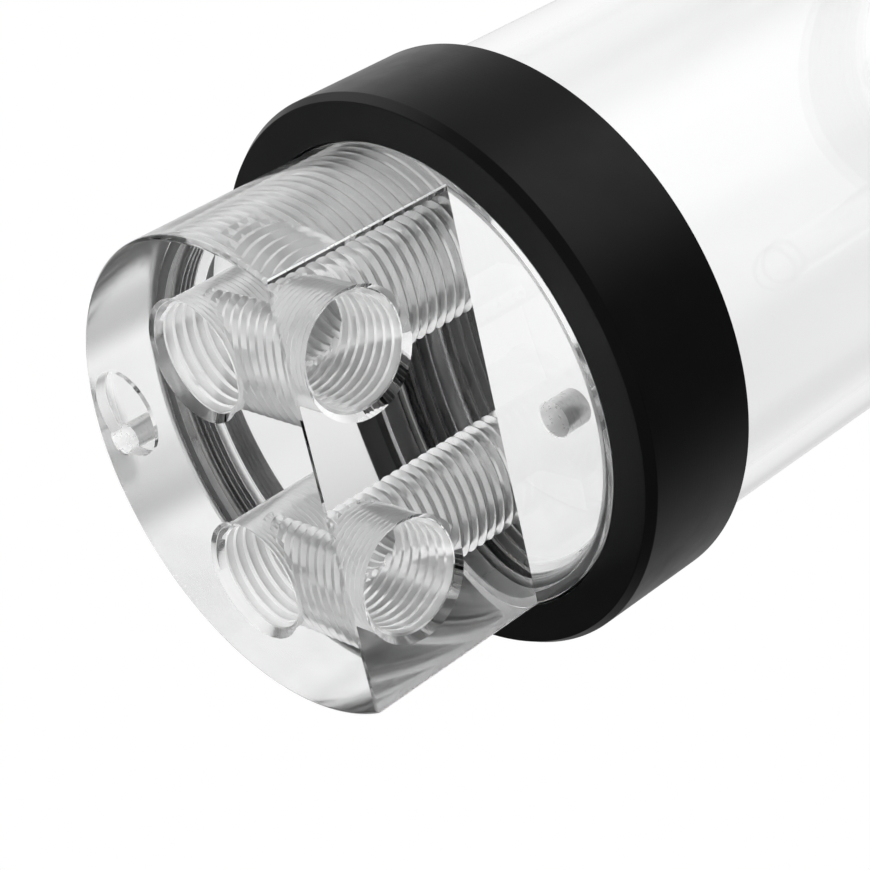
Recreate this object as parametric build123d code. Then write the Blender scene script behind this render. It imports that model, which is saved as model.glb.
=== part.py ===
from build123d import *
import math
import os

# Millimetres. Z runs up the reservoir's axis from the end face of the port block, which is its foot.
# The flat of the port block faces -Y. Threads are drawn plain, at their effective diameter.

# Tube
tube_diameter = 60.0
tube_wall = 2.5
tube_length = 150.0

# Port block
shoulder_width = 1.7
shoulder_height = 23.9
flat_distance = 11.6
block_edge = 0.4
flat_edge = 0.2
nose_length = 1.0
nose_taper = 0.8

# Collars
collar_wall = 2.45
collar_face_height = 24.3
collar_length = 15.5
collar_chamfer_height = 1.05
collar_chamfer_width = 0.65
collar_edge = 0.3
counterbore_depth = 4.0
lip_clearance = 0.3
socket_clearance = 0.05

# Main threads, between the collars and what screws into them
main_thread_inset = 2.0
main_thread_length = 5.0
thread_clearance = 0.05

# Seals
main_seal_section = 1.8
main_seal_squeeze = 0.15
main_seal_inset = 0.7
main_groove_width = 2.3
washer_thickness = 0.5
fitting_seal_width = 1.6
fitting_seal_height = 1.4
fitting_seal_rim = 0.15
seal_corner_share = 0.29
seal_clearance = 0.02
gasket_thickness = 1.0
tube_seal_section = 1.5
tube_seal_squeeze = 0.15
tube_seal_inset = 1.7
tube_groove_width = 1.9

# Ports
port_thread_diameter = 12.3
port_mouth_diameter = 13.9
port_spacing = 26.0
port_offset = 4.5
front_port_height = 8.6

# Lamp holes of the port block
lamp_recess_diameter = 10.0
lamp_recess_depth = 1.3
lamp_recess_x = -3.4
lamp_recess_inset = 6.6
lamp_hole_diameter = 3.0
lamp_hole_depth = 9.0
lamp_hole_x = 0.6
lamp_hole_inset = 4.0
shoulder_hole_diameter = 4.0
shoulder_hole_depth = 7.0
shoulder_hole_inset = 6.8
drill_point_angle = 118.0

# Fittings
fitting_thread_length = 7.0
fitting_tip_taper = 0.8
fitting_head_diameter = 19.2
stop_head_height = 4.2
stop_socket_width = 8.0
stop_socket_depth = 2.6
fill_head_diameter = 20.0
fill_head_height = 8.0
fill_flute_count = 24
fill_flute_diameter = 1.8
fill_flute_rise = 0.36
fill_slot_width = 1.8
fill_slot_depth = 1.6
head_chamfer = 0.6

# Top cap
cap_rise = 2.0
cap_edge = 0.6
cap_port_count = 3
cap_port_circle = 29.0
spanner_hole_diameter = 4.0
spanner_hole_depth = 3.5
spanner_hole_inset = 6.7

# Inlet pipe, screwed into one of the cap's ports from inside
pipe_diameter = 10.0
pipe_wall = 1.0
pipe_length = 50.0
adapter_thread_length = 4.5
adapter_flange_height = 3.0
adapter_boss_height = 5.0
adapter_boss_wall = 1.8
adapter_floor = 2.0

# Radii and heights that follow
tube_radius = tube_diameter / 2
tube_bore_radius = tube_radius - tube_wall
main_thread_radius = tube_bore_radius - main_thread_inset
block_radius = main_thread_radius + shoulder_width
counterbore_radius = block_radius + lip_clearance
socket_radius = tube_radius + socket_clearance
collar_radius = socket_radius + collar_wall
port_radius = port_thread_diameter / 2
port_mouth_radius = port_mouth_diameter / 2
fitting_radius = port_radius - thread_clearance
pipe_radius = pipe_diameter / 2
pipe_bore_radius = pipe_radius - pipe_wall
adapter_height = adapter_flange_height + adapter_boss_height

seat_height = collar_face_height + counterbore_depth
step_height = seat_height - washer_thickness
ledge_height = seat_height + main_thread_length
collar_end_height = collar_face_height + collar_length
inner_face_height = ledge_height + nose_length
tube_low = ledge_height + gasket_thickness
tube_high = tube_low + tube_length
middle_height = (tube_low + tube_high) / 2
middle_plane = Plane.XY.offset(middle_height)

port_x = port_spacing / 2
inlet_place = Pos(-port_x, port_offset, 0)
outlet_place = Pos(port_x, port_offset, 0)
cap_face_height = collar_face_height - cap_rise

main_seal_radial = main_seal_section * (1 - main_seal_squeeze)
groove_floor_radius = counterbore_radius - main_seal_radial
groove_low = collar_face_height + main_seal_inset
groove_high = groove_low + main_groove_width

tube_groove_floor = tube_radius + tube_seal_section * (1 - tube_seal_squeeze)
tube_groove_high = collar_end_height - tube_seal_inset
tube_groove_low = tube_groove_high - tube_groove_width

fitting_seal_inner = port_mouth_radius + fitting_seal_rim
fitting_seal_outer = fitting_seal_inner + fitting_seal_width
recess_inner = fitting_seal_inner - seal_clearance
recess_outer = fitting_seal_outer + seal_clearance
recess_depth = fitting_seal_height + 2 * seal_clearance


# A solid of revolution about Z from (radius, height) corners.
def turned(*corners):
    return revolve(Plane.XZ * make_face(Polyline(*corners, close=True)), Axis.Z)


# A plain drum between two heights.
def drum(radius, low, high):
    return Pos(0, 0, low) * Cylinder(radius, high - low, align=(Align.CENTER, Align.CENTER, Align.MIN))


# A plain ring between two heights.
def ring(outer, inner, low, high):
    return drum(outer, low, high) - drum(inner, low, high)


# A squeezed seal ring: an octagon's section, stretched to the room it has.
def seal_ring(inner, outer, low, high):
    corner = seal_corner_share * min(outer - inner, high - low)
    return turned(
        (inner + corner, low),
        (outer - corner, low),
        (outer, low + corner),
        (outer, high - corner),
        (outer - corner, high),
        (inner + corner, high),
        (inner, high - corner),
        (inner, low + corner),
    )


# A blind drilled hole from Z = 0 upwards, with its drill point.
def drilled(diameter, depth):
    radius = diameter / 2
    point = radius / math.tan(math.radians(drill_point_angle / 2))
    return turned((0, 0), (radius, 0), (radius, depth), (0, depth + point))


# A port's bore from Z = 0 to a depth, with its countersunk mouth.
def port_cut(depth):
    sink = port_mouth_radius - port_radius
    return turned((0, 0), (port_mouth_radius, 0), (port_radius, sink), (port_radius, depth), (0, depth))


# The body that screws into a collar from its face: head, seal groove, seat, thread and nose.
def screw_body(low, edge):
    return turned(
        (0, low),
        (block_radius - edge, low),
        (block_radius, low + edge),
        (block_radius, groove_low),
        (groove_floor_radius, groove_low),
        (groove_floor_radius, groove_high),
        (block_radius, groove_high),
        (block_radius, step_height),
        (main_thread_radius, step_height),
        (main_thread_radius, inner_face_height - nose_taper),
        (main_thread_radius - nose_taper, inner_face_height),
        (0, inner_face_height),
    )


# The main seal ring in its groove.
def make_main_seal():
    slack = (main_groove_width - main_seal_section) / 2
    return seal_ring(
        groove_floor_radius + seal_clearance,
        counterbore_radius - seal_clearance,
        groove_low + slack,
        groove_high - slack,
    )


# The slip washer between the screwed body's step and the counterbore's floor.
def make_main_washer():
    return ring(
        block_radius,
        main_thread_radius + thread_clearance,
        step_height,
        seat_height,
    )


# The seal ring between a collar's socket and the tube.
def make_tube_seal():
    slack = (tube_groove_width - tube_seal_section) / 2
    return seal_ring(
        tube_radius + seal_clearance,
        tube_groove_floor - seal_clearance,
        tube_groove_low + slack,
        tube_groove_high - slack,
    )


# A collar: lip and counterbore, thread, ledge for the gasket, and the grooved socket that takes the tube.
def make_collar():
    thread_wall = main_thread_radius + thread_clearance
    return turned(
        (counterbore_radius, collar_face_height),
        (collar_radius - collar_chamfer_width, collar_face_height),
        (collar_radius, collar_face_height + collar_chamfer_height),
        (collar_radius, collar_end_height - collar_edge),
        (collar_radius - collar_edge, collar_end_height),
        (socket_radius + collar_edge, collar_end_height),
        (socket_radius, collar_end_height - collar_edge),
        (socket_radius, tube_groove_high),
        (tube_groove_floor, tube_groove_high),
        (tube_groove_floor, tube_groove_low),
        (socket_radius, tube_groove_low),
        (socket_radius, ledge_height),
        (thread_wall, ledge_height),
        (thread_wall, seat_height),
        (counterbore_radius, seat_height),
    )


# The clear block: one flat below the shoulder, two ports through it, two from the flat, three lamp holes.
def make_port_block():
    body = screw_body(0, block_edge)
    cut_depth = block_radius - flat_distance
    flat_cut = Pos(0, -flat_distance, 0) * Box(
        4 * block_radius,
        2 * cut_depth,
        shoulder_height,
        align=(Align.CENTER, Align.MAX, Align.MIN),
    )
    body -= flat_cut
    flat_edges = body.faces().filter_by(Axis.Y).sort_by(Axis.Y)[0].edges()
    body = chamfer([edge for edge in flat_edges if edge.center().Z < shoulder_height - flat_edge], flat_edge)

    for place in (inlet_place, outlet_place):
        body -= place * port_cut(inner_face_height)
        front_place = Pos(place.position.X, -flat_distance, front_port_height)
        body -= front_place * Rot(-90, 0, 0) * port_cut(flat_distance + port_offset)

    recess_place = Pos(lamp_recess_x, block_radius - lamp_recess_inset, 0)
    body -= recess_place * drum(lamp_recess_diameter / 2, 0, lamp_recess_depth)
    lamp_place = Pos(lamp_hole_x, block_radius - lamp_hole_inset, 0)
    body -= lamp_place * drilled(lamp_hole_diameter, lamp_hole_depth)
    shoulder_place = Pos(0, shoulder_hole_inset - block_radius, shoulder_height)
    body -= shoulder_place * drilled(shoulder_hole_diameter, shoulder_hole_depth)
    return body


# The threaded shank that all port fittings have, from the seat at Z = 0 into the port.
def fitting_shank(length):
    return turned(
        (0, 0),
        (fitting_radius, 0),
        (fitting_radius, length - fitting_tip_taper),
        (fitting_radius - fitting_tip_taper, length),
        (0, length),
    )


# A fitting's head below its seat at Z = 0, with the recess that holds the seal ring.
def fitting_head(diameter, height):
    radius = diameter / 2
    return turned(
        (0, -height),
        (radius - head_chamfer, -height),
        (radius, head_chamfer - height),
        (radius, 0),
        (recess_outer, 0),
        (recess_outer, -recess_depth),
        (recess_inner, -recess_depth),
        (recess_inner, 0),
        (0, 0),
    )


# The seal ring of a fitting, in the recess under its head.
def fitting_seal():
    return seal_ring(
        fitting_seal_inner,
        fitting_seal_outer,
        -fitting_seal_height - seal_clearance,
        -seal_clearance,
    )


# A flush stop plug with a hexagon socket.
def make_stop_plug():
    socket = extrude(RegularPolygon(stop_socket_width / 2, 6, major_radius=False), stop_socket_depth)
    head = fitting_head(fitting_head_diameter, stop_head_height)
    return head + fitting_shank(fitting_thread_length) - Pos(0, 0, -stop_head_height) * socket


# A finger-tight fill plug with a fluted rim and a coin slot.
def make_fill_plug():
    plug = fitting_head(fill_head_diameter, fill_head_height) + fitting_shank(fitting_thread_length)
    rim = fill_head_diameter / 2
    flute_length = fill_head_height - recess_depth - head_chamfer
    flute = drum(fill_flute_diameter / 2, -fill_head_height, flute_length - fill_head_height)
    plug -= [
        Rot(0, 0, turn * 360 / fill_flute_count) * Pos(rim + fill_flute_rise, 0, 0) * flute
        for turn in range(fill_flute_count)
    ]
    slot = Box(2 * fill_head_diameter, fill_slot_width, 2 * fill_slot_depth)
    return plug - Pos(0, 0, -fill_head_height) * slot


# The top cap, drawn here as if it closed the lower collar; it is turned over with the other top pieces.
def make_cap():
    cap = screw_body(cap_face_height, cap_edge)
    for place in cap_port_places():
        cap -= place * port_cut(inner_face_height - cap_face_height)
    for turn in range(cap_port_count):
        angle = math.radians(90 + turn * 360 / cap_port_count)
        reach = block_radius - spanner_hole_inset
        hole = drilled(spanner_hole_diameter, spanner_hole_depth)
        cap -= Pos(reach * math.cos(angle), reach * math.sin(angle), cap_face_height) * hole
    return cap


# The places of the cap's ports, the fill port first.
def cap_port_places():
    reach = cap_port_circle / 2
    angles = [math.radians(-90 + turn * 360 / cap_port_count) for turn in range(cap_port_count)]
    return [Pos(reach * math.cos(angle), reach * math.sin(angle), cap_face_height) for angle in angles]


# The adapter that holds the inlet pipe: threaded shank, flange, and a boss with the pipe's socket.
def make_inlet_adapter():
    body = fitting_head(fitting_head_diameter, adapter_flange_height) + fitting_shank(adapter_thread_length)
    body += drum(pipe_radius + adapter_boss_wall, -adapter_height, -adapter_flange_height)
    body -= drum(pipe_radius + socket_clearance, -adapter_height, -adapter_floor)
    return body - drum(pipe_bore_radius, -adapter_floor, adapter_thread_length)


# The inlet pipe, from the floor of the adapter's socket down into the tank.
def make_inlet_pipe():
    return ring(pipe_radius, pipe_bore_radius, -adapter_floor - pipe_length, -adapter_floor)


# Turns a piece drawn at the lower collar over to the upper one.
def at_top(piece):
    return mirror(piece, about=middle_plane)


base_collar = make_collar()
main_seal = make_main_seal()
main_washer = make_main_washer()
tube_seal = make_tube_seal()
base_gasket = ring(tube_radius, tube_bore_radius, ledge_height, tube_low)
fill_place, right_place, left_place = cap_port_places()
pipe_place = Pos(0, 0, inner_face_height - cap_face_height) * left_place * Rot(180, 0, 0)

pieces = {
    "tube": ring(tube_radius, tube_bore_radius, tube_low, tube_high),
    "base_collar": base_collar,
    "base_tube_gasket": base_gasket,
    "base_tube_oring": tube_seal,
    "top_collar": at_top(base_collar),
    "top_tube_gasket": at_top(base_gasket),
    "top_tube_oring": at_top(tube_seal),
    "port_block": make_port_block(),
    "port_block_oring": main_seal,
    "port_block_washer": main_washer,
    "top_cap": at_top(make_cap()),
    "top_cap_oring": at_top(main_seal),
    "top_cap_washer": at_top(main_washer),
    "inlet_adapter": at_top(pipe_place * make_inlet_adapter()),
    "inlet_adapter_oring": at_top(pipe_place * fitting_seal()),
    "inlet_pipe": at_top(pipe_place * make_inlet_pipe()),
    "fill_plug": at_top(fill_place * make_fill_plug()),
    "fill_plug_oring": at_top(fill_place * fitting_seal()),
    "right_stop_plug": at_top(right_place * make_stop_plug()),
    "right_stop_plug_oring": at_top(right_place * fitting_seal()),
    "left_stop_plug": at_top(left_place * make_stop_plug()),
    "left_stop_plug_oring": at_top(left_place * fitting_seal()),
}

os.makedirs("parts", exist_ok=True)
for name, solid in pieces.items():
    export_step(solid, f"parts/{name}.step")
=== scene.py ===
import math

import bpy
import numpy as np
from mathutils import Matrix, Vector


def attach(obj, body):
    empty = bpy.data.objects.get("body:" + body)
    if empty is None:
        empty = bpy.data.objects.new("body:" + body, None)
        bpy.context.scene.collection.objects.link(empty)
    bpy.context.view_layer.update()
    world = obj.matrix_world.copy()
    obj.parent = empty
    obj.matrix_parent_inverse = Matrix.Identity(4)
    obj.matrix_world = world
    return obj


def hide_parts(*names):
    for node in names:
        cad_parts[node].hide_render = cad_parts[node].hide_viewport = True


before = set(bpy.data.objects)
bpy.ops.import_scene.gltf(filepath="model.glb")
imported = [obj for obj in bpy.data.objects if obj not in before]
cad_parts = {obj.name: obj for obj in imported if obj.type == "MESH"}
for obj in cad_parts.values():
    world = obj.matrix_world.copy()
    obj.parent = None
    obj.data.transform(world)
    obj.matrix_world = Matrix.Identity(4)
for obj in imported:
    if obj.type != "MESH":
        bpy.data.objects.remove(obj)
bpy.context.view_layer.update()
mm = 0.001  # every size below is in millimetres, as the solids have it
turn = 2 * math.pi


# Heights along the axis that several pieces share
levels = {
    "shoulder": 23.9,
    "collarFace": 24.3,
    "grooveLow": 25.0,
    "grooveHigh": 27.3,
    "step": 27.8,
    "seat": 28.3,
    "ledge": 33.3,
    "innerFace": 34.3,
    "collarEnd": 39.8,
    "tubeHigh": 184.3,
    "middle": 109.3,
    "capFace": 22.3,
}


# Mesh tools

# A closed outline of (radius, height) corners, where each corner off the axis gives way to a short curve:
# the curve is the parabola between the points that lie softening away from the corner along its two sides.
# One more point, support times as far out, keeps the long faces beside each curve flat in their shading.
def softened(corners, softening, steps=3, support=1.7):
    points = np.array(corners, float)
    before, after = np.roll(points, 1, 0) - points, np.roll(points, -1, 0) - points
    lengthBefore = np.linalg.norm(before, axis=1, keepdims=True)
    lengthAfter = np.linalg.norm(after, axis=1, keepdims=True)
    reach = np.minimum(softening, 0.25 * np.minimum(lengthBefore, lengthAfter))
    reach[points[:, 0] <= 0] = 0
    start, end = points + before / lengthBefore * reach, points + after / lengthAfter * reach
    share = np.linspace(0, 1, steps + 1)[None, :, None]
    rest = 1 - share
    curve = rest**2 * start[:, None] + 2 * share * rest * points[:, None] + share**2 * end[:, None]
    first = points + before / lengthBefore * reach * support
    last = points + after / lengthAfter * reach * support
    curve = np.concatenate([first[:, None], curve, last[:, None]], 1).reshape(-1, 2)
    keep = np.linalg.norm(curve - np.roll(curve, 1, 0), axis=1) > 1e-6
    return curve[keep]


# A new object from points in millimetres and faces
def solidFrom(name, points, faces):
    mesh = bpy.data.meshes.new(name)
    mesh.from_pydata((np.asarray(points) * mm).tolist(), [], [list(face) for face in faces])
    mesh.validate()
    solid = bpy.data.objects.new(name, mesh)
    bpy.context.scene.collection.objects.link(solid)
    return solid


# A solid of revolution: point (i, j) has the outline's radius and height j, turned by i shares of a turn.
# The outline runs anticlockwise. Where it starts and ends on the axis, its two ends are the poles.
def lathe(name, corners, softening=0.0, segments=192, ripple=None):
    outline = softened(corners, softening) if softening else np.array(corners, float)
    poles = outline[0, 0] <= 0
    radius, height = outline[:, 0], outline[:, 1]
    angle = turn * np.arange(segments) / segments
    inner = slice(1, -1) if poles else slice(None)
    rows = radius[inner]
    spread = np.broadcast_to(rows[None, :], (segments, len(rows)))
    if ripple is not None:
        spread = ripple(angle[:, None], spread, height[inner][None, :])
    points = np.stack(
        [
            spread * np.cos(angle)[:, None],
            spread * np.sin(angle)[:, None],
            np.broadcast_to(height[inner][None, :], spread.shape),
        ],
        2,
    ).reshape(-1, 3)
    count = len(rows)
    i = np.arange(segments)[:, None]
    j = np.arange(count - 1 if poles else count)[None, :]
    ahead, above = (i + 1) % segments, (j + 1) % count
    quads = np.stack([i * count + j, ahead * count + j, ahead * count + above, i * count + above], 2)
    faces = quads.reshape(-1, 4).tolist()
    if poles:
        points = np.vstack([points, [0, 0, height[0]], [0, 0, height[-1]]])
        low, high = len(points) - 2, len(points) - 1
        i = np.arange(segments)
        ahead = (i + 1) % segments
        faces += np.stack([np.full(segments, low), ahead * count, i * count], 1).tolist()
        top = count - 1
        faces += np.stack([np.full(segments, high), i * count + top, ahead * count + top], 1).tolist()
    return solidFrom(name, points, faces)


# One pitch of thread, as pairs of a share of the pitch and a level from -1 at the root to 1 at the crest.
# A tapped hole keeps more of its drilled wall, and its threads end in a narrow groove.
cutThread = [(-0.06, 1), (0.06, 1), (0.44, -1), (0.56, -1)]
tappedThread = [(-0.03, 1), (0.03, 1), (0.36, -0.62), (0.64, -0.62)]


# A right-hand screw: point (i, j) lies at i shares of a turn and j rows up the thread, and has climbed the
# same share of a pitch as of a turn. Its radius follows the thread's profile, which repeats with each pitch.
def screwRod(name, radius, depth, pitch, low, high, segments=96, profile=cutThread):
    samples = len(profile)
    first = math.floor(low / pitch) - 2
    turns = math.ceil((high - low) / pitch) + 4
    count = turns * samples + 1
    shares, steps = np.tile(np.array(profile), (turns + 1, 1))[:count].T
    shares = shares + np.arange(count) // samples
    i = np.arange(segments)[:, None]
    spread = np.broadcast_to(radius + depth / 2 * steps[None, :], (segments, count))
    height = pitch * (first + shares[None, :] + i / segments)
    points = np.stack(
        [spread * np.cos(turn * i / segments), spread * np.sin(turn * i / segments), height], 2
    ).reshape(-1, 3)
    i, j = np.arange(segments - 1)[:, None], np.arange(count - 1)[None, :]
    sides = np.stack(
        [i * count + j, (i + 1) * count + j, (i + 1) * count + j + 1, i * count + j + 1], 2
    ).reshape(-1, 4)
    last = (segments - 1) * count
    j = np.arange(count - 1 - samples)
    joins = np.stack([last + j, j + samples, j + samples + 1, last + j + 1], 1)
    column = np.arange(segments) * count
    lowRim = np.concatenate([column, np.arange(samples, 0, -1)])
    highRim = np.concatenate([column + count - 1, last + count - 1 - np.arange(1, samples + 1)])
    points = np.vstack([points, [0, 0, points[lowRim, 2].mean()], [0, 0, points[highRim, 2].mean()]])
    lowPole, highPole = len(points) - 2, len(points) - 1
    lowFan = np.stack([np.full(len(lowRim), lowPole), np.roll(lowRim, -1), lowRim], 1)
    highFan = np.stack([np.full(len(highRim), highPole), highRim, np.roll(highRim, -1)], 1)
    faces = sides.tolist() + joins.tolist() + lowFan.tolist() + highFan.tolist()
    return solidFrom(name, points, faces)


# A flat outline carried straight along the axis numbered along, between two values.
# The outline's two numbers are the other two axes in their cyclic order, and it runs anticlockwise.
def prism(name, outline, along, low, high):
    outline = np.array(outline, float)
    count = len(outline)
    points = np.zeros((2 * count, 3))
    points[:, (along + 1) % 3] = np.tile(outline[:, 0], 2)
    points[:, (along + 2) % 3] = np.tile(outline[:, 1], 2)
    points[:, along] = np.repeat([low, high], count)
    i = np.arange(count)
    ahead = (i + 1) % count
    faces = np.stack([i, ahead, ahead + count, i + count], 1).tolist()
    faces += [list(range(count))[::-1], list(range(count, 2 * count))]
    return solidFrom(name, points, faces)


# Moves a solid's points: first the turn, as a 3 by 3 matrix, then the shift
def moved(solid, shift=(0, 0, 0), rotation=None):
    mesh = solid.data
    points = np.empty(len(mesh.vertices) * 3, np.float32)
    mesh.vertices.foreach_get("co", points)
    points = points.reshape(-1, 3)
    if rotation is not None:
        points = points @ np.array(rotation, float).T
    points = points + np.array(shift) * mm
    mesh.vertices.foreach_set("co", points.astype(np.float32).ravel())
    mesh.update()
    return solid


# The first solid after each tool in turn has cut it, joined it or kept only what they share
def carved(body, tools, operation="DIFFERENCE"):
    for tool in tools:
        step = body.modifiers.new("step", "BOOLEAN")
        step.object = tool
        step.operation = operation
        step.solver = "MANIFOLD"
    bpy.context.view_layer.update()
    shape = bpy.data.meshes.new_from_object(body.evaluated_get(bpy.context.evaluated_depsgraph_get()))
    shape.materials.clear()  # an evaluated mesh brings empty slots
    body.modifiers.clear()
    old = body.data
    body.data = shape
    bpy.data.meshes.remove(old)
    for tool in tools:
        bpy.data.objects.remove(tool)
    return body


# What lies of a screw rod inside a turned blank, so its first and last turns run out. The blank's corners are
# given as radius and height, the lower ones from the thread's low end and the upper ones from its high end.
def clipped(rod, low, lowCorners, high, highCorners, segments=96):
    outline = [(radius, low + z) for radius, z in lowCorners]
    outline += [(radius, high + z) for radius, z in highCorners]
    return carved(rod, [lathe("blank", outline, segments=segments)], "INTERSECT")


# Turns a solid drawn at the lower end over to the upper end, about the X axis, so its threads stay right-hand
turnedOver = ((1, 0, 0), (0, -1, 0), (0, 0, -1))


def atTop(solid):
    return moved(solid, (0, 0, 2 * levels["middle"]), turnedOver)


# Gives a finished solid its name, smooth shading with crisp edges, its finish and its place in the frame
def place(solid, name, node, body, finishes, crease=35):
    solid.name = name
    solid.data.name = name
    for finish in finishes:
        solid.data.materials.append(finish)
    solid.data.shade_smooth()
    solid.data.set_sharp_from_angle(angle=math.radians(crease))
    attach(solid, body)
    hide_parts(node)
    return solid


# Node tools

# One output of a node; sums and products with it add Math nodes
class Wire:
    def __init__(self, tree, socket):
        self.tree = tree
        self.socket = socket

    def maths(self, operation, first, second):
        return self.tree.add("ShaderNodeMath", {"operation": operation}, {0: first, 1: second})

    def beside(self, output):  # another output of the same node
        return Wire(self.tree, self.socket.node.outputs[output])

    def __add__(self, other):
        return self.maths("ADD", self, other)

    def __sub__(self, other):
        return self.maths("SUBTRACT", self, other)

    def __rsub__(self, other):
        return self.maths("SUBTRACT", other, self)

    def __mul__(self, other):
        return self.maths("MULTIPLY", self, other)

    __radd__ = __add__
    __rmul__ = __mul__


# A node tree, filled by one method: a node's type, its settings, what goes into its sockets, the output wanted
class Tree:
    def __init__(self, owner):
        owner.use_nodes = True
        self.nodes = owner.node_tree.nodes
        self.links = owner.node_tree.links
        self.nodes.clear()

    def add(self, kind, settings=None, inputs=None, output=0):
        node = self.nodes.new(kind)
        for name, value in (settings or {}).items():
            if name == "stops":
                stops = node.color_ramp.elements
                while len(stops) < len(value):
                    stops.new(0.5)
                for stop, (position, level) in zip(stops, value):
                    stop.position = position
                    stop.color = (level, level, level, 1)
            else:
                setattr(node, name, value)
        for name, value in (inputs or {}).items():
            if isinstance(value, Wire):
                self.links.new(value.socket, node.inputs[name])
            else:
                node.inputs[name].default_value = value
        return Wire(self, node.outputs[output]) if node.outputs else node


# A point's place, its distance from an axis along Z and its height, the last two in millimetres
def roundPlace(tree, centre=(0, 0)):
    spot = tree.add("ShaderNodeTexCoord", output="Object")
    apart = tree.add("ShaderNodeSeparateXYZ", inputs={0: spot})
    x = apart * (1 / mm) - centre[0]
    y = apart.beside(1) * (1 / mm) - centre[1]
    z = apart.beside(2) * (1 / mm)
    squared = x * x + y * y
    return spot, squared.maths("POWER", squared, 0.5), z


# Noise over the object's own coordinates, or over another vector
def noise(tree, vector, scale, detail):
    return tree.add("ShaderNodeTexNoise", inputs={"Vector": vector, "Scale": scale, "Detail": detail})


# A surface's relief from a height between 0 and 1
def relief(tree, height, strength, distance=0.00002):
    return tree.add("ShaderNodeBump", inputs={"Strength": strength, "Distance": distance, "Height": height})


# The shader of one surface, from its sockets, and the output
def surface(tree, sockets):
    shader = tree.add("ShaderNodeBsdfPrincipled", inputs=sockets)
    tree.add("ShaderNodeOutputMaterial", inputs={"Surface": shader})


# Clear acrylic by kind: polished faces; port threads, frosted where the tap tore them a little; the main
# thread and its groove, greased at the seal, so they mirror less; drilled walls; and walls with a trace of
# turning.
acrylicLook = {
    "colour": (0.996, 0.998, 0.998, 1),
    "polished": {"ior": 1.49, "clear": 1.0, "roughLow": 0.0, "roughHigh": 0.02, "grain": 90, "bump": 0.0},
    "frosted": {"ior": 1.49, "clear": 0.68, "roughLow": 0.12, "roughHigh": 0.21, "grain": 1500, "bump": 0.5},
    "sealed": {"ior": 1.22, "clear": 0.92, "roughLow": 0.4, "roughHigh": 0.6, "grain": 500, "bump": 0.2},
    "drilled": {"ior": 1.49, "clear": 0.62, "roughLow": 0.2, "roughHigh": 0.38, "grain": 1500, "bump": 0.3},
    "turned": {"ior": 1.49, "clear": 1.0, "roughLow": 0.06, "roughHigh": 0.14, "grain": 200, "bump": 0.0},
}
kinds = ("polished", "frosted", "sealed", "turned", "drilled")


def clearAcrylic(kind):
    look = acrylicLook[kind]
    finish = bpy.data.materials.new(kind + " acrylic")
    tree = Tree(finish)
    spot = tree.add("ShaderNodeTexCoord", output="Object")
    marks = noise(tree, spot, look["grain"], 3.0)
    fine = noise(tree, spot, look["grain"] * 3, 2.0)
    sockets = {
        "Base Color": acrylicLook["colour"],
        "Roughness": marks * (look["roughHigh"] - look["roughLow"]) + look["roughLow"],
        "IOR": look["ior"],
        "Transmission Weight": look["clear"],
        "Normal": relief(tree, fine, look["bump"]),
    }
    surface(tree, sockets)
    return finish


acrylics = [clearAcrylic(kind) for kind in kinds]
polishedAcrylic = acrylics[0]


# Black acetal, turned: fine rings from the tool and a dull sparkle where the surface was left rough
acetalLook = {
    "colour": (0.002, 0.002, 0.0021, 1),
    "roughLow": 0.25,
    "roughHigh": 0.42,
    "shine": 0.16,
    "ringSize": 0.16,
    "ringShare": 0.7,
    "cloudScale": 260.0,
    "gritScale": 6000.0,
    "bump": 0.35,
}


def turnedAcetal():
    look = acetalLook
    finish = bpy.data.materials.new("black acetal")
    tree = Tree(finish)
    spot, distance, z = roundPlace(tree)
    ringsPerMm = 1 / look["ringSize"]
    across = tree.add("ShaderNodeCombineXYZ", inputs={0: distance * ringsPerMm, 1: z * ringsPerMm})
    rings = noise(tree, across, 1.0, 2.0)
    cloud = noise(tree, spot, look["cloudScale"], 4.0)
    grit = noise(tree, spot, look["gritScale"], 2.0)
    height = rings * look["ringShare"] + grit * (1 - look["ringShare"])
    sockets = {
        "Base Color": look["colour"],
        "Roughness": cloud * (look["roughHigh"] - look["roughLow"]) + look["roughLow"],
        "IOR": 1.48,
        "Specular IOR Level": look["shine"],
        "Normal": relief(tree, height, look["bump"], 0.00003),
    }
    surface(tree, sockets)
    return finish


# Soft black rubber with a moulded skin
rubberLook = {
    "colour": (0.012, 0.012, 0.012, 1),
    "roughLow": 0.5,
    "roughHigh": 0.7,
    "skinScale": 2500.0,
    "bloomScale": 300.0,
    "bump": 0.2,
}


def sealRubber():
    look = rubberLook
    finish = bpy.data.materials.new("black rubber")
    tree = Tree(finish)
    spot = tree.add("ShaderNodeTexCoord", output="Object")
    skin = noise(tree, spot, look["skinScale"], 3.0)
    bloom = noise(tree, spot, look["bloomScale"], 2.0)
    sockets = {
        "Base Color": look["colour"],
        "Roughness": bloom * (look["roughHigh"] - look["roughLow"]) + look["roughLow"],
        "IOR": 1.5,
        "Normal": relief(tree, skin, look["bump"]),
    }
    surface(tree, sockets)
    return finish


# Plain white slip washer, slightly waxy
washerLook = {
    "colour": (0.8, 0.8, 0.78, 1),
    "roughLow": 0.4,
    "roughHigh": 0.55,
    "waxScale": 400.0,
    "bump": 0.1,
}


def washerWhite():
    look = washerLook
    finish = bpy.data.materials.new("white washer")
    tree = Tree(finish)
    wax = noise(tree, tree.add("ShaderNodeTexCoord", output="Object"), look["waxScale"], 3.0)
    sockets = {
        "Base Color": look["colour"],
        "Roughness": wax * (look["roughHigh"] - look["roughLow"]) + look["roughLow"],
        "Normal": relief(tree, wax, look["bump"]),
    }
    surface(tree, sockets)
    return finish


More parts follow.
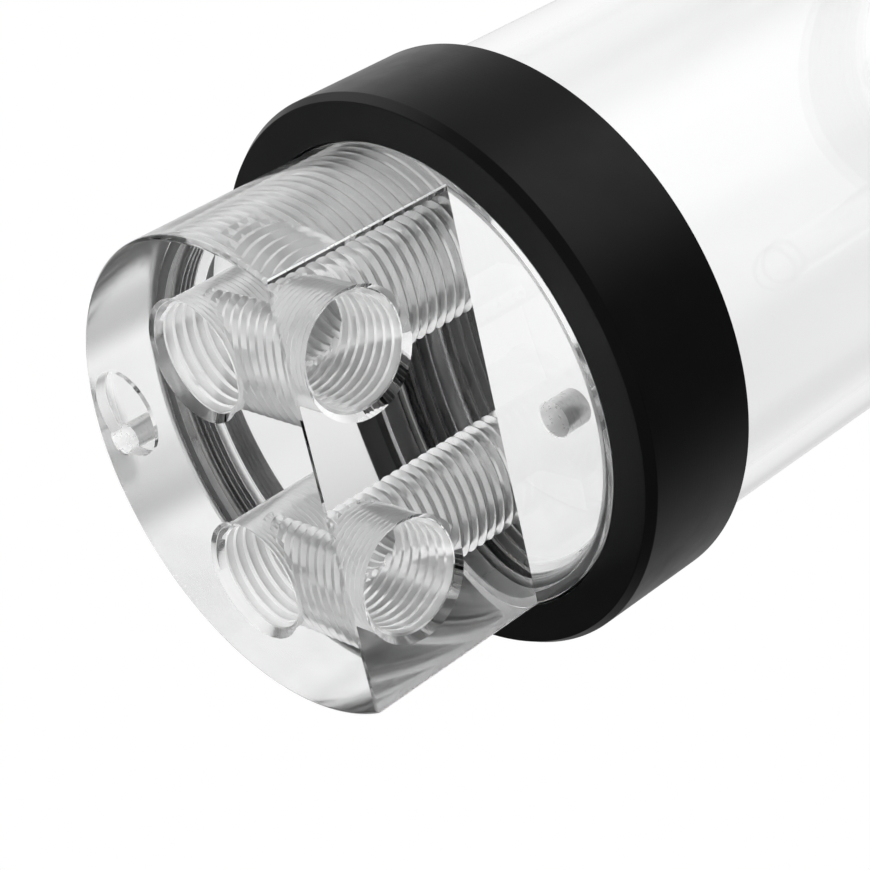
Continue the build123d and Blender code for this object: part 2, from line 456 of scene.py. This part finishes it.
# Satin nickel plate over turned brass; the rings run round each plug's own axis
nickelLook = {
    "colour": (0.62, 0.61, 0.59, 1),
    "roughLow": 0.22,
    "roughHigh": 0.34,
    "ringsPerMm": 9,
    "cloudScale": 350.0,
    "bump": 0.25,
}


def nickelPlate(name, centre):
    look = nickelLook
    finish = bpy.data.materials.new(name)
    tree = Tree(finish)
    spot, distance, z = roundPlace(tree, centre)
    ringsPerMm = look["ringsPerMm"]
    across = tree.add("ShaderNodeCombineXYZ", inputs={0: distance * ringsPerMm, 1: z * ringsPerMm})
    rings = noise(tree, across, 1.0, 3.0)
    cloud = noise(tree, spot, look["cloudScale"], 3.0)
    sockets = {
        "Base Color": look["colour"],
        "Metallic": 1.0,
        "Roughness": cloud * (look["roughHigh"] - look["roughLow"]) + look["roughLow"],
        "Normal": relief(tree, rings, look["bump"]),
    }
    surface(tree, sockets)
    return finish


blackAcetal = turnedAcetal()
blackRubber = sealRubber()
whiteWasher = washerWhite()
print("finishes made")


# Screwed bodies: what the port block and the cap share. The corners of the thread's blank are given from the
# step and from the inner face.
mainThread = {"core": 25.06, "rod": 25.48, "nut": 25.61, "depth": 0.84, "pitch": 1.5, "segments": 192}
head = {
    "radius": 27.2,
    "grooveFloor": 25.97,
    "noseRadius": 24.3,
    "noseHeight": 0.8,
    "segments": 288,
    "blankLow": [(0, -0.2), (25.2, -0.2), (26.2, 0.9)],
    "blankHigh": [(26.2, -1.9), (24.5, -0.1), (0, -0.1)],
}


# A screw rod of the main thread, over the height where both its male and its female side lie
def mainRod(radius):
    thread = mainThread
    low, high = levels["step"], levels["innerFace"]
    return screwRod("rod", radius, thread["depth"], thread["pitch"], low, high, thread["segments"])


def screwedBody(name, low, edge):
    body = lathe(
        name,
        [
            (0, low),
            (head["radius"] - edge, low),
            (head["radius"], low + edge),
            (head["radius"], levels["grooveLow"]),
            (head["grooveFloor"], levels["grooveLow"]),
            (head["grooveFloor"], levels["grooveHigh"]),
            (head["radius"], levels["grooveHigh"]),
            (head["radius"], levels["step"]),
            (mainThread["core"], levels["step"]),
            (mainThread["core"], levels["innerFace"] - head["noseHeight"]),
            (head["noseRadius"], levels["innerFace"]),
            (0, levels["innerFace"]),
        ],
        softening=0.12,
        segments=head["segments"],
    )
    rod = mainRod(mainThread["rod"])
    step, inner = levels["step"], levels["innerFace"]
    rod = clipped(rod, step, head["blankLow"], inner, head["blankHigh"], mainThread["segments"])
    return carved(body, [rod], "UNION")


# A port's cutter from Z = 0 upwards: thread to its depth, and the countersunk mouth
port = {
    "radius": 6.17,
    "depth": 0.86,
    "pitch": 1.337,
    "mouth": 6.95,
    "sink": 1.35,
    "drill": 5.3,
    "segments": 144,
    "beyond": 0.5,
}


def portCutter(depth, tip=0.5):
    radius, segments = port["radius"], port["segments"]
    rod = screwRod("rod", radius, port["depth"], port["pitch"], 0, depth, segments, tappedThread)
    rod = clipped(rod, 0, [(0, -1), (8, -1)], depth, [(8, -tip), (port["drill"], 0), (0, 0)])
    beyond = port["beyond"]
    mouth = lathe(
        "mouth",
        [
            (0, -beyond),
            (port["mouth"] + beyond, -beyond),
            (port["mouth"] - port["sink"], port["sink"]),
            (0, port["sink"]),
        ],
        segments=segments,
    )
    return carved(rod, [mouth], "UNION")


# A blind drilled hole from Z = 0 upwards, with its point and a hair of countersink
def drillCutter(diameter, depth, sink=0.12):
    radius = diameter / 2
    return lathe(
        "drill",
        [(0, -1), (radius + sink + 1, -1), (radius, sink), (radius, depth), (0, depth + 0.6 * radius)],
        segments=96,
    )


# The port block: clear, one flat below the shoulder, two ports through it and two from the flat, a recess and a
# hole for a lamp in the end face, and a hole for one in the shoulder. Recess: x, y, radius and depth.
# Holes: x, y, diameter and depth. flatEdge is the bevel between the flat and the end face, cornerEdge is how
# far the bevels along the flat's two corners are cut in, and beyond is how far the flat's cutter goes.
block = {
    "edge": 0.4,
    "flat": 11.6,
    "flatEdge": 0.2,
    "cornerEdge": 0.07,
    "beyond": (60, 5, 40),
    "portX": 13.0,
    "portY": 4.5,
    "frontHeight": 8.6,
    "recess": (-3.4, 20.6, 5.0, 1.3),
    "lampHole": (0.6, 23.2, 3.0, 9.0),
    "shoulderHole": (0.0, -20.4, 4.0, 7.0),
}
intoFlat = ((1, 0, 0), (0, 0, 1), (0, -1, 0))  # turns the cutter's Z to +Y
cornerX = math.sqrt(head["radius"] ** 2 - block["flat"] ** 2)  # where the flat meets the outer wall


def makePortBlock():
    body = screwedBody("portBlock", 0.0, block["edge"])
    flat, edge, shoulder = block["flat"], block["flatEdge"], levels["shoulder"]
    out, down, aside = block["beyond"]
    outline = [(-out, -down), (edge - flat + down, -down), (-flat, edge), (-flat, shoulder), (-out, shoulder)]
    tools = [prism("flat", outline, 0, -aside, aside)]
    for side in (-1, 1):
        corner = np.array([side * cornerX, -flat])
        outward = np.array([0, -1]) + corner / head["radius"]
        outward = outward / np.linalg.norm(outward)
        sideways = np.array([-outward[1], outward[0]])
        low = corner - block["cornerEdge"] * outward
        outline = [low - 1.2 * sideways, low + 1.2 * outward, low + 1.2 * sideways]
        tools.append(prism("edge", outline, 2, -1, shoulder))
    for side in (-1, 1):
        x = side * block["portX"]
        tools.append(moved(portCutter(levels["innerFace"] + 1, tip=0.1), (x, block["portY"], 0)))
        front = portCutter(flat + block["portY"], tip=0.2)
        tools.append(moved(front, (x, -flat, block["frontHeight"]), intoFlat))
    x, y, radius, depth = block["recess"]
    outline = [(0, -1), (radius, -1), (radius, depth), (0, depth)]
    tools.append(moved(lathe("recess", outline, softening=0.1, segments=128), (x, y, 0)))
    x, y, diameter, depth = block["lampHole"]
    tools.append(moved(drillCutter(diameter, depth), (x, y, 0)))
    x, y, diameter, depth = block["shoulderHole"]
    tools.append(moved(drillCutter(diameter, depth), (x, y, shoulder)))
    return carved(body, tools)


# Gives the faces of a clear screwed body their finish by place: turned on the outer wall, sealed on the main
# thread and its groove, and its own inside each bore: a kind, a point, a direction, two ends and a reach.
def markFaces(solid, bores):
    mesh = solid.data
    centres = np.empty(len(mesh.polygons) * 3, np.float32)
    mesh.polygons.foreach_get("center", centres)
    centres = centres.reshape(-1, 3) / mm
    height = centres[:, 2]
    apart = np.linalg.norm(centres[:, :2], axis=1)
    finishes = np.zeros(len(centres), np.int32)
    hair = 0.01  # keeps flat faces at a boundary out
    threaded = (height > levels["grooveLow"] - hair) & (height < levels["innerFace"] - hair)
    finishes[apart > head["radius"] - 0.25] = kinds.index("turned")
    finishes[(apart > head["noseRadius"] - 0.05) & threaded] = kinds.index("sealed")
    for kind, point, direction, low, high, reach in bores:
        direction = np.array(direction, float)
        along = (centres - point) @ direction
        away = np.linalg.norm(centres - point - along[:, None] * direction, axis=1)
        finishes[(away < reach) & (along > low) & (along < high)] = kinds.index(kind)
    mesh.polygons.foreach_set("material_index", finishes)
    mesh.update()


def blockBores():
    flat, shoulder, upwards = block["flat"], levels["shoulder"], (0, 0, 1)
    sink, reach = 0.9, 6.75  # the frosted thread starts inside the countersink
    bores = []
    for side in (-1, 1):
        mouth = (side * block["portX"], block["portY"], 0)
        frontMouth = (side * block["portX"], -flat, block["frontHeight"])
        bores.append(("frosted", mouth, upwards, sink, levels["innerFace"] - 0.1, reach))
        bores.append(("frosted", frontMouth, (0, 1, 0), sink, flat + block["portY"], reach))
        bores.append(("drilled", (side * cornerX, -flat, 0), upwards, 0.3, shoulder, 0.2))
    x, y, radius, depth = block["recess"]
    bores.append(("turned", (x, y, 0), upwards, 0.02, depth - 0.02, radius + 0.1))
    x, y, diameter, lampDepth = block["lampHole"]
    bores.append(("drilled", (x, y, 0), upwards, depth + 0.02, 2 * lampDepth, diameter / 2 + 0.1))
    x, y, diameter, depth = block["shoulderHole"]
    bores.append(("drilled", (x, y, shoulder), upwards, 0.02, 2 * depth, diameter / 2 + 0.3))
    return bores


portBlock = makePortBlock()
markFaces(portBlock, blockBores())
place(portBlock, "portBlock", "port_block", "port_block", acrylics, crease=30)
print("port block made,", len(portBlock.data.polygons), "faces")


# The collars: black, with a real thread inside
collar = {
    "counterbore": 27.5,
    "radius": 32.5,
    "chamferWidth": 0.65,
    "chamferHeight": 1.05,
    "edge": 0.3,
    "socket": 30.05,
    "threadHole": 25.19,
    "sealFloor": 31.275,
    "sealLow": 36.2,
    "sealHigh": 38.1,
    "blankLow": [(0, -0.7), (26.7, -0.7), (25.0, 1.0), (26.4, 1.0)],
    "blankHigh": [(26.4, 0.6), (0, 0.6)],
}


def makeCollar(name):
    face, end = levels["collarFace"], levels["collarEnd"]
    ring = lathe(
        name,
        [
            (collar["counterbore"], face),
            (collar["radius"] - collar["chamferWidth"], face),
            (collar["radius"], face + collar["chamferHeight"]),
            (collar["radius"], end - collar["edge"]),
            (collar["radius"] - collar["edge"], end),
            (collar["socket"] + collar["edge"], end),
            (collar["socket"], end - collar["edge"]),
            (collar["socket"], collar["sealHigh"]),
            (collar["sealFloor"], collar["sealHigh"]),
            (collar["sealFloor"], collar["sealLow"]),
            (collar["socket"], collar["sealLow"]),
            (collar["socket"], levels["ledge"]),
            (collar["threadHole"], levels["ledge"]),
            (collar["threadHole"], levels["seat"]),
            (collar["counterbore"], levels["seat"]),
        ],
        softening=0.06,
        segments=head["segments"],
    )
    rod = mainRod(mainThread["nut"])
    seat, ledge = levels["seat"], levels["ledge"]
    rod = clipped(rod, seat, collar["blankLow"], ledge, collar["blankHigh"], mainThread["segments"])
    return carved(ring, [rod])


baseCollar, topCollar = makeCollar("baseCollar"), atTop(makeCollar("topCollar"))
place(baseCollar, "baseCollar", "base_collar", "tank", [blackAcetal], crease=50)
place(topCollar, "topCollar", "top_collar", "tank", [blackAcetal], crease=50)
print("collars made")


# The clear tube
tube = {"outer": 30.0, "inner": 27.5, "edge": 0.2, "rows": 9, "segments": 288}


def makeTube():
    rows = np.linspace(levels["innerFace"], levels["tubeHigh"], tube["rows"])
    outside = [(tube["outer"], z) for z in rows]
    inside = [(tube["inner"], z) for z in rows[::-1]]
    return lathe("tubeShell", outside + inside, softening=tube["edge"], segments=tube["segments"])


place(makeTube(), "tubeShell", "tube", "tank", [polishedAcrylic])


# Flat rings: gaskets under the tube's ends, and slip washers under the heads with a hair of play
gasket = {"inner": 27.5, "outer": 30.0, "low": levels["ledge"], "high": levels["innerFace"]}
washer = {"inner": 26.05, "outer": 27.2, "low": levels["step"] + 0.02, "high": levels["seat"] - 0.02}


def flatRing(name, inner, outer, low, high):
    outline = [(inner, low), (outer, low), (outer, high), (inner, high)]
    return lathe(name, outline, softening=0.12, segments=288)


baseGasket, topGasket = flatRing("baseGasket", **gasket), atTop(flatRing("topGasket", **gasket))
place(baseGasket, "baseGasket", "base_tube_gasket", "tank", [blackRubber])
place(topGasket, "topGasket", "top_tube_gasket", "tank", [blackRubber])
blockWasher, capWasher = flatRing("blockWasher", **washer), atTop(flatRing("capWasher", **washer))
place(blockWasher, "blockWasher", "port_block_washer", "port_block_seal", [whiteWasher])
place(capWasher, "capWasher", "top_cap_washer", "top_cap_seal", [whiteWasher])


# A seal ring: its section is a squeezed circle, cosine and sine raised to a power a little below 1
mainSeal = {"inner": 25.99, "outer": 27.48, "low": 25.25, "high": 27.05, "segments": 288}
tubeSeal = {"inner": 30.02, "outer": 31.255, "low": 36.4, "high": 37.9, "segments": 288}
fittingSeal = {"inner": 7.1, "outer": 8.7, "low": -1.42, "high": -0.02, "segments": 128, "around": 16}


def sealRing(name, inner, outer, low, high, segments, around=20, power=0.82):
    angle = turn * np.arange(around) / around
    cosine, sine = np.cos(angle), np.sin(angle)
    radius = (inner + outer) / 2 + (outer - inner) / 2 * np.sign(cosine) * np.abs(cosine) ** power
    height = (low + high) / 2 + (high - low) / 2 * np.sign(sine) * np.abs(sine) ** power
    return lathe(name, np.stack([radius, height], 1), segments=segments)


def placeSeal(ring, node, body):
    place(ring, ring.name, node, body, [blackRubber], crease=80)


placeSeal(sealRing("blockSeal", **mainSeal), "port_block_oring", "port_block_seal")
placeSeal(atTop(sealRing("capSeal", **mainSeal)), "top_cap_oring", "top_cap_seal")
placeSeal(sealRing("baseTubeSeal", **tubeSeal), "base_tube_oring", "tank")
placeSeal(atTop(sealRing("topTubeSeal", **tubeSeal)), "top_tube_oring", "tank")
print("tube, gaskets, washers and seal rings made")


# The top cap: clear, three threaded ports and three holes for a pin spanner, opposite the ports
cap = {
    "edge": 0.6,
    "portCircle": 14.5,
    "spannerCircle": 20.5,
    "spannerDiameter": 4.0,
    "spannerDepth": 3.5,
    "spannerSink": 0.25,
}
capPorts = {"fill": -90, "right": 30, "left": 150}
capDepth = levels["innerFace"] - levels["capFace"]


# A place on the cap's face by angle, as it lies before the cap is turned over
def onCap(angle, distance):
    angle = math.radians(angle)
    return (distance * math.cos(angle), -distance * math.sin(angle), levels["capFace"])


def makeCap():
    body = screwedBody("capBlock", levels["capFace"], cap["edge"])
    tools = []
    for angle in capPorts.values():
        tools.append(moved(portCutter(capDepth + 1, tip=0.1), onCap(angle, cap["portCircle"])))
        hole = drillCutter(cap["spannerDiameter"], cap["spannerDepth"], sink=cap["spannerSink"])
        tools.append(moved(hole, onCap(angle + 180, cap["spannerCircle"])))
    return carved(body, tools)


def capBores():
    upwards, holeDepth = (0, 0, 1), 2 * cap["spannerDepth"]
    bores = []
    for angle in capPorts.values():
        bores.append(("frosted", onCap(angle, cap["portCircle"]), upwards, 0.9, capDepth - 0.1, 6.75))
        bores.append(("drilled", onCap(angle + 180, cap["spannerCircle"]), upwards, 0.02, holeDepth, 2.4))
    return bores


capBlock = makeCap()
markFaces(capBlock, capBores())
place(atTop(capBlock), "capBlock", "top_cap", "top_cap", acrylics, crease=30)
print("cap made,", len(capBlock.data.polygons), "faces")


# The plugs: head, seal recess and threaded shank, drawn from the seat at Z = 0 with the head below it.
# The corners of the thread's blank are given from the seat and from the shank's end.
plug = {
    "rod": 6.1,
    "depth": 0.84,
    "core": 5.68,
    "length": 7.0,
    "recessInner": 7.08,
    "recessOuter": 8.72,
    "recessDepth": 1.44,
    "chamfer": 0.6,
    "tipWidth": 0.5,
    "tipHeight": 0.6,
    "blankLow": [(0, -0.3), (5.9, -0.3), (6.8, 0.9)],
    "blankHigh": [(6.8, -1.1), (5.6, -0.05), (0, -0.05)],
}
stopPlug = {
    "radius": 9.6,
    "height": 4.2,
    "socketWidth": 8.0,
    "socketDepth": 2.6,
    "sink": [(0, -1), (5.9, -1), (4.2, 0.7), (0, 0.7)],
}
fillPlug = {
    "radius": 10.0,
    "height": 8.0,
    "flutes": 24,
    "fluteDepth": 0.54,
    "fluteWidth": 1.55,
    "fluteEnd": 0.2,
    "slotWidth": 1.8,
    "slotDepth": 1.6,
}


def plugBody(radius, height, rows=1, ripple=None, segments=192):
    sideRows = [(radius, z) for z in np.linspace(plug["chamfer"] - height, -plug["recessDepth"], rows + 1)]
    body = lathe(
        "plug",
        [(0, -height), (radius - plug["chamfer"], -height)]
        + sideRows
        + [
            (radius, 0),
            (plug["recessOuter"], 0),
            (plug["recessOuter"], -plug["recessDepth"]),
            (plug["recessInner"], -plug["recessDepth"]),
            (plug["recessInner"], 0),
            (plug["core"], 0),
            (plug["core"], plug["length"] - plug["tipHeight"]),
            (plug["core"] - plug["tipWidth"], plug["length"]),
            (0, plug["length"]),
        ],
        softening=0.12,
        segments=segments,
        ripple=ripple,
    )
    rod = screwRod("rod", plug["rod"], plug["depth"], port["pitch"], 0, plug["length"])
    rod = clipped(rod, 0, plug["blankLow"], plug["length"], plug["blankHigh"])
    return carved(body, [rod], "UNION")


# A hexagon across flats, as six corners
def hexagon(width):
    angle = turn * np.arange(6) / 6
    return np.stack([np.cos(angle), np.sin(angle)], 1) * width / math.sqrt(3)


def makeStopPlug():
    body = plugBody(stopPlug["radius"], stopPlug["height"])
    low = -stopPlug["height"]
    socket = prism("socket", hexagon(stopPlug["socketWidth"]), 2, low - 1, low + stopPlug["socketDepth"])
    sink = lathe("sink", [(radius, low + z) for radius, z in stopPlug["sink"]], segments=96)
    return carved(body, [socket, sink])


# The fluted rim: across each flute the radius dips by a half circle's height, clear of the head's two ends
def fluted(angle, radius, height):
    spacing = turn / fillPlug["flutes"]
    off = (angle + spacing / 2) % spacing - spacing / 2
    across = off * fillPlug["radius"] / (fillPlug["fluteWidth"] / 2)
    dip = fillPlug["fluteDepth"] * np.sqrt(np.clip(1 - across**2, 0, 1))
    beside = height < -plug["recessDepth"] - fillPlug["fluteEnd"]
    onRim = (radius > fillPlug["radius"] - 0.75) & beside
    return np.where(onRim, radius - dip, radius)


def makeFillPlug():
    body = plugBody(fillPlug["radius"], fillPlug["height"], rows=4, ripple=fluted, segments=24 * 16)
    low = -fillPlug["height"]
    half = fillPlug["slotWidth"] / 2
    floor = low + fillPlug["slotDepth"]
    outline = [(-half, low - 1), (half, low - 1), (half, floor), (-half, floor)]
    return carved(body, [prism("slot", outline, 0, -12, 12)])


# The inlet pipe under the cap's left port, and the adapter that holds it, screwed in from inside
pipe = {"radius": 5.0, "bore": 4.0, "length": 50.0, "floor": 2.0, "rows": 6}
adapter = {
    "radius": 9.6,
    "flange": 3.0,
    "boss": 6.8,
    "height": 8.0,
    "thread": 4.5,
    "socket": 5.05,
    "blankLow": [(5.28, -0.3), (5.9, -0.3), (6.8, 0.9)],
    "blankHigh": [(6.8, -1.0), (5.8, -0.1), (5.28, -0.1)],
}


def makeAdapter():
    body = lathe(
        "adapter",
        [
            (pipe["bore"], -pipe["floor"]),
            (adapter["socket"], -pipe["floor"]),
            (adapter["socket"], -adapter["height"]),
            (adapter["boss"], -adapter["height"]),
            (adapter["boss"], -adapter["flange"]),
            (adapter["radius"], -adapter["flange"]),
            (adapter["radius"], 0),
            (plug["recessOuter"], 0),
            (plug["recessOuter"], -plug["recessDepth"]),
            (plug["recessInner"], -plug["recessDepth"]),
            (plug["recessInner"], 0),
            (plug["core"], 0),
            (plug["core"], adapter["thread"]),
            (pipe["bore"], adapter["thread"]),
        ],
        softening=0.2,
        segments=144,
    )
    rod = screwRod("rod", plug["rod"], plug["depth"], port["pitch"], 0, adapter["thread"])
    rod = clipped(rod, 0, adapter["blankLow"], adapter["thread"], adapter["blankHigh"])
    return carved(body, [rod], "UNION")


pipeSpot = onCap(capPorts["left"], cap["portCircle"])[:2] + (levels["innerFace"],)


# Turned over and then round its own axis, until its thread lies in the port's
def underCap(solid):
    angle = turn * (capDepth / port["pitch"] + 0.5)
    cosine, sine = math.cos(angle), math.sin(angle)
    return atTop(moved(solid, pipeSpot, ((cosine, sine, 0), (sine, -cosine, 0), (0, 0, -1))))


def makePipe():
    rows = np.linspace(-pipe["floor"] - pipe["length"], -pipe["floor"], pipe["rows"])
    outside = [(pipe["radius"], z) for z in rows]
    inside = [(pipe["bore"], z) for z in rows[::-1]]
    return lathe("pipe", outside + inside, softening=0.3, segments=128)


inletAdapter, inletPipe = underCap(makeAdapter()), underCap(makePipe())
place(inletAdapter, "inletAdapter", "inlet_adapter", "top_cap", [blackAcetal], crease=30)
place(inletPipe, "inletPipe", "inlet_pipe", "top_cap", [polishedAcrylic])
placeSeal(underCap(sealRing("inletSeal", **fittingSeal)), "inlet_adapter_oring", "top_cap")
for key, name, node, maker in (
    ("fill", "fillPlug", "fill_plug", makeFillPlug),
    ("right", "stopPlugRight", "right_stop_plug", makeStopPlug),
    ("left", "stopPlugLeft", "left_stop_plug", makeStopPlug),
):
    spot = onCap(capPorts[key], cap["portCircle"])
    finish = nickelPlate("nickel plate " + key, (spot[0], -spot[1]))
    place(atTop(moved(maker(), spot)), name, node, node, [finish])
    seal = atTop(moved(sealRing(name + "Seal", **fittingSeal), spot))
    placeSeal(seal, node + "_oring", node + "_seal")
print("plugs made")


# The camera stands below the foot, as in the photograph, and its up is nearly -X
view = {
    "eye": (-105.9, -183.2, -116.5),
    "ahead": (0.4378, 0.7127, 0.548),
    "up": (-0.8758, 0.2003, 0.4392),
    "lens": 98.0,
    "sensor": 36.0,
}
ahead = Vector(view["ahead"]).normalized()
up = (Vector(view["up"]) - Vector(view["up"]).dot(ahead) * ahead).normalized()
right = ahead.cross(up)
cameraData = bpy.data.cameras.new("camera")
cameraData.lens = view["lens"]
cameraData.sensor_width = view["sensor"]
cameraData.clip_start = 0.005
cameraData.clip_end = 10
camera = bpy.data.objects.new("camera", cameraData)
bpy.context.scene.collection.objects.link(camera)
rotation = Matrix((right, up, -ahead)).transposed().to_4x4()
camera.matrix_world = Matrix.Translation(Vector(view["eye"]) * mm) @ rotation
bpy.context.scene.camera = camera


# The room: white for the camera, and for everything else a dark studio with soft patches of light round it.
# Each patch is a direction, as shares of the main view's right, up and ahead, its level and its reach in
# degrees. The gathered patches light matt surfaces, times diffuseShare, and show through clear ones, no
# brighter than throughMost, so that no clear wall outshines white. Outsides mirror the mirrored patches, which
# are darker on the whole.
room = {
    "gathered": [
        (0.27, 0, 0.96, 0.77, 42),
        (-0.34, 0.31, 0.89, 0.28, 42),
        (0.41, 0.53, 0.74, 0.46, 42),
        (-0.73, -0.13, 0.67, 1.62, 42),
        (0.68, -0.43, 0.59, 0.5, 42),
        (-0.22, 0.83, 0.52, 0.76, 42),
        (0.87, 0.32, 0.37, 1.62, 42),
        (-0.88, 0.36, 0.3, 1.62, 42),
        (-0.86, -0.5, 0.07, 1.62, 42),
        (0.98, -0.21, 0, 0.99, 42),
        (-0.57, 0.82, -0.07, 1.62, 42),
        (-0.13, -0.98, -0.15, 1.07, 42),
        (0.75, 0.63, -0.22, 0.75, 42),
        (-0.95, 0.04, -0.3, 0.98, 42),
        (-0.04, 0.89, -0.44, 1.34, 42),
        (-0.55, -0.66, -0.52, 1.35, 42),
        (-0.61, 0.43, -0.67, 1.62, 42),
        (0.15, -0.66, -0.74, 1.05, 42),
        (0.29, 0.5, -0.81, 1.12, 42),
        (-0.44, -0.14, -0.89, 1.62, 42),
        (0.24, -0.11, -0.96, 1.62, 42),
    ],
    "mirrored": [
        (-0.1, 0.35, 0.93, 0.8, 45),
        (-0.62, 0.76, 0.15, 1.5, 34),
        (0.15, 0.95, 0.25, 0.4, 50),
        (0.57, 0.79, -0.22, 1.5, 30),
        (0.5, -0.42, 0.75, 0.5, 48),
        (-0.9, -0.2, 0.4, 0.4, 22),
    ],
    "throughMost": 0.98,
    "diffuseShare": 0.92,
    "mirroredLeast": 0.01,
}


# The light that comes from a list of patches in one direction
def patchLight(tree, direction, patches):
    light = 0.0
    for alongRight, alongUp, alongAhead, level, reach in patches:
        axis = alongRight * right + alongUp * up + alongAhead * ahead
        both = {0: direction, 1: axis}
        share = tree.add("ShaderNodeVectorMath", {"operation": "DOT_PRODUCT"}, both, output="Value")
        edge = math.cos(math.radians(reach))
        light = light + tree.add(
            "ShaderNodeMapRange",
            {"interpolation_type": "SMOOTHSTEP"},
            {"Value": share, "From Min": edge, "From Max": 1.0, "To Max": level},
        )
    return light


def makeRoom():
    world = bpy.data.worlds.new("room")
    bpy.context.scene.world = world
    tree = Tree(world)
    direction = tree.add("ShaderNodeTexCoord", output="Generated")
    gathered = patchLight(tree, direction, room["gathered"])
    seenThrough = gathered.maths("MINIMUM", gathered, room["throughMost"])
    mirrored = patchLight(tree, direction, room["mirrored"]) + room["mirroredLeast"]
    seen = tree.add("ShaderNodeLightPath", output="Is Camera Ray")
    glossy = tree.add("ShaderNodeLightPath", output="Is Glossy Ray")
    through = tree.add("ShaderNodeLightPath", output="Is Transmission Ray")
    mirror = glossy * (1 - through)
    inside = through * seenThrough + (1 - through) * (gathered * room["diffuseShare"])
    tone = seen + (1 - seen) * (mirror * mirrored + (1 - mirror) * inside)
    background = tree.add("ShaderNodeBackground", inputs={"Color": tone, "Strength": 1.0})
    tree.add("ShaderNodeOutputWorld", inputs={"Surface": background})


makeRoom()


# A pale floor under the foot: the camera sees it from above, and all other light passes
floor = {"width": 3000, "drop": 0.3, "darkest": 0.86, "lightest": 0.9, "cloud": 8.0}


def makeFloor():
    half, z = floor["width"] / 2, -floor["drop"]
    corners = [(-half, -half, z), (half, -half, z), (half, half, z), (-half, half, z)]
    ground = solidFrom("floor", corners, [(0, 1, 2, 3)])
    finish = bpy.data.materials.new("pale floor")
    tree = Tree(finish)
    cloud = noise(tree, tree.add("ShaderNodeTexCoord", output="Object"), floor["cloud"], 2.0)
    stops = [(0.0, floor["darkest"]), (1.0, floor["lightest"])]
    tone = tree.add("ShaderNodeValToRGB", {"stops": stops}, {0: cloud})
    paint = tree.add("ShaderNodeBsdfDiffuse", inputs={"Color": tone})
    clear = tree.add("ShaderNodeBsdfTransparent")
    seen = tree.add("ShaderNodeLightPath", output="Is Camera Ray")
    under = tree.add("ShaderNodeNewGeometry", output="Backfacing")
    mixed = tree.add("ShaderNodeMixShader", inputs={0: seen * (1 - under), 1: clear, 2: paint})
    tree.add("ShaderNodeOutputMaterial", inputs={"Surface": mixed})
    ground.data.materials.append(finish)


makeFloor()
scene = bpy.context.scene
scene.view_settings.view_transform = "Standard"
scene.cycles.max_bounces = 40  # light crosses many clear walls before it leaves the block
scene.cycles.transmission_bounces = 40
scene.cycles.glossy_bounces = 16
print("camera, room and floor made")
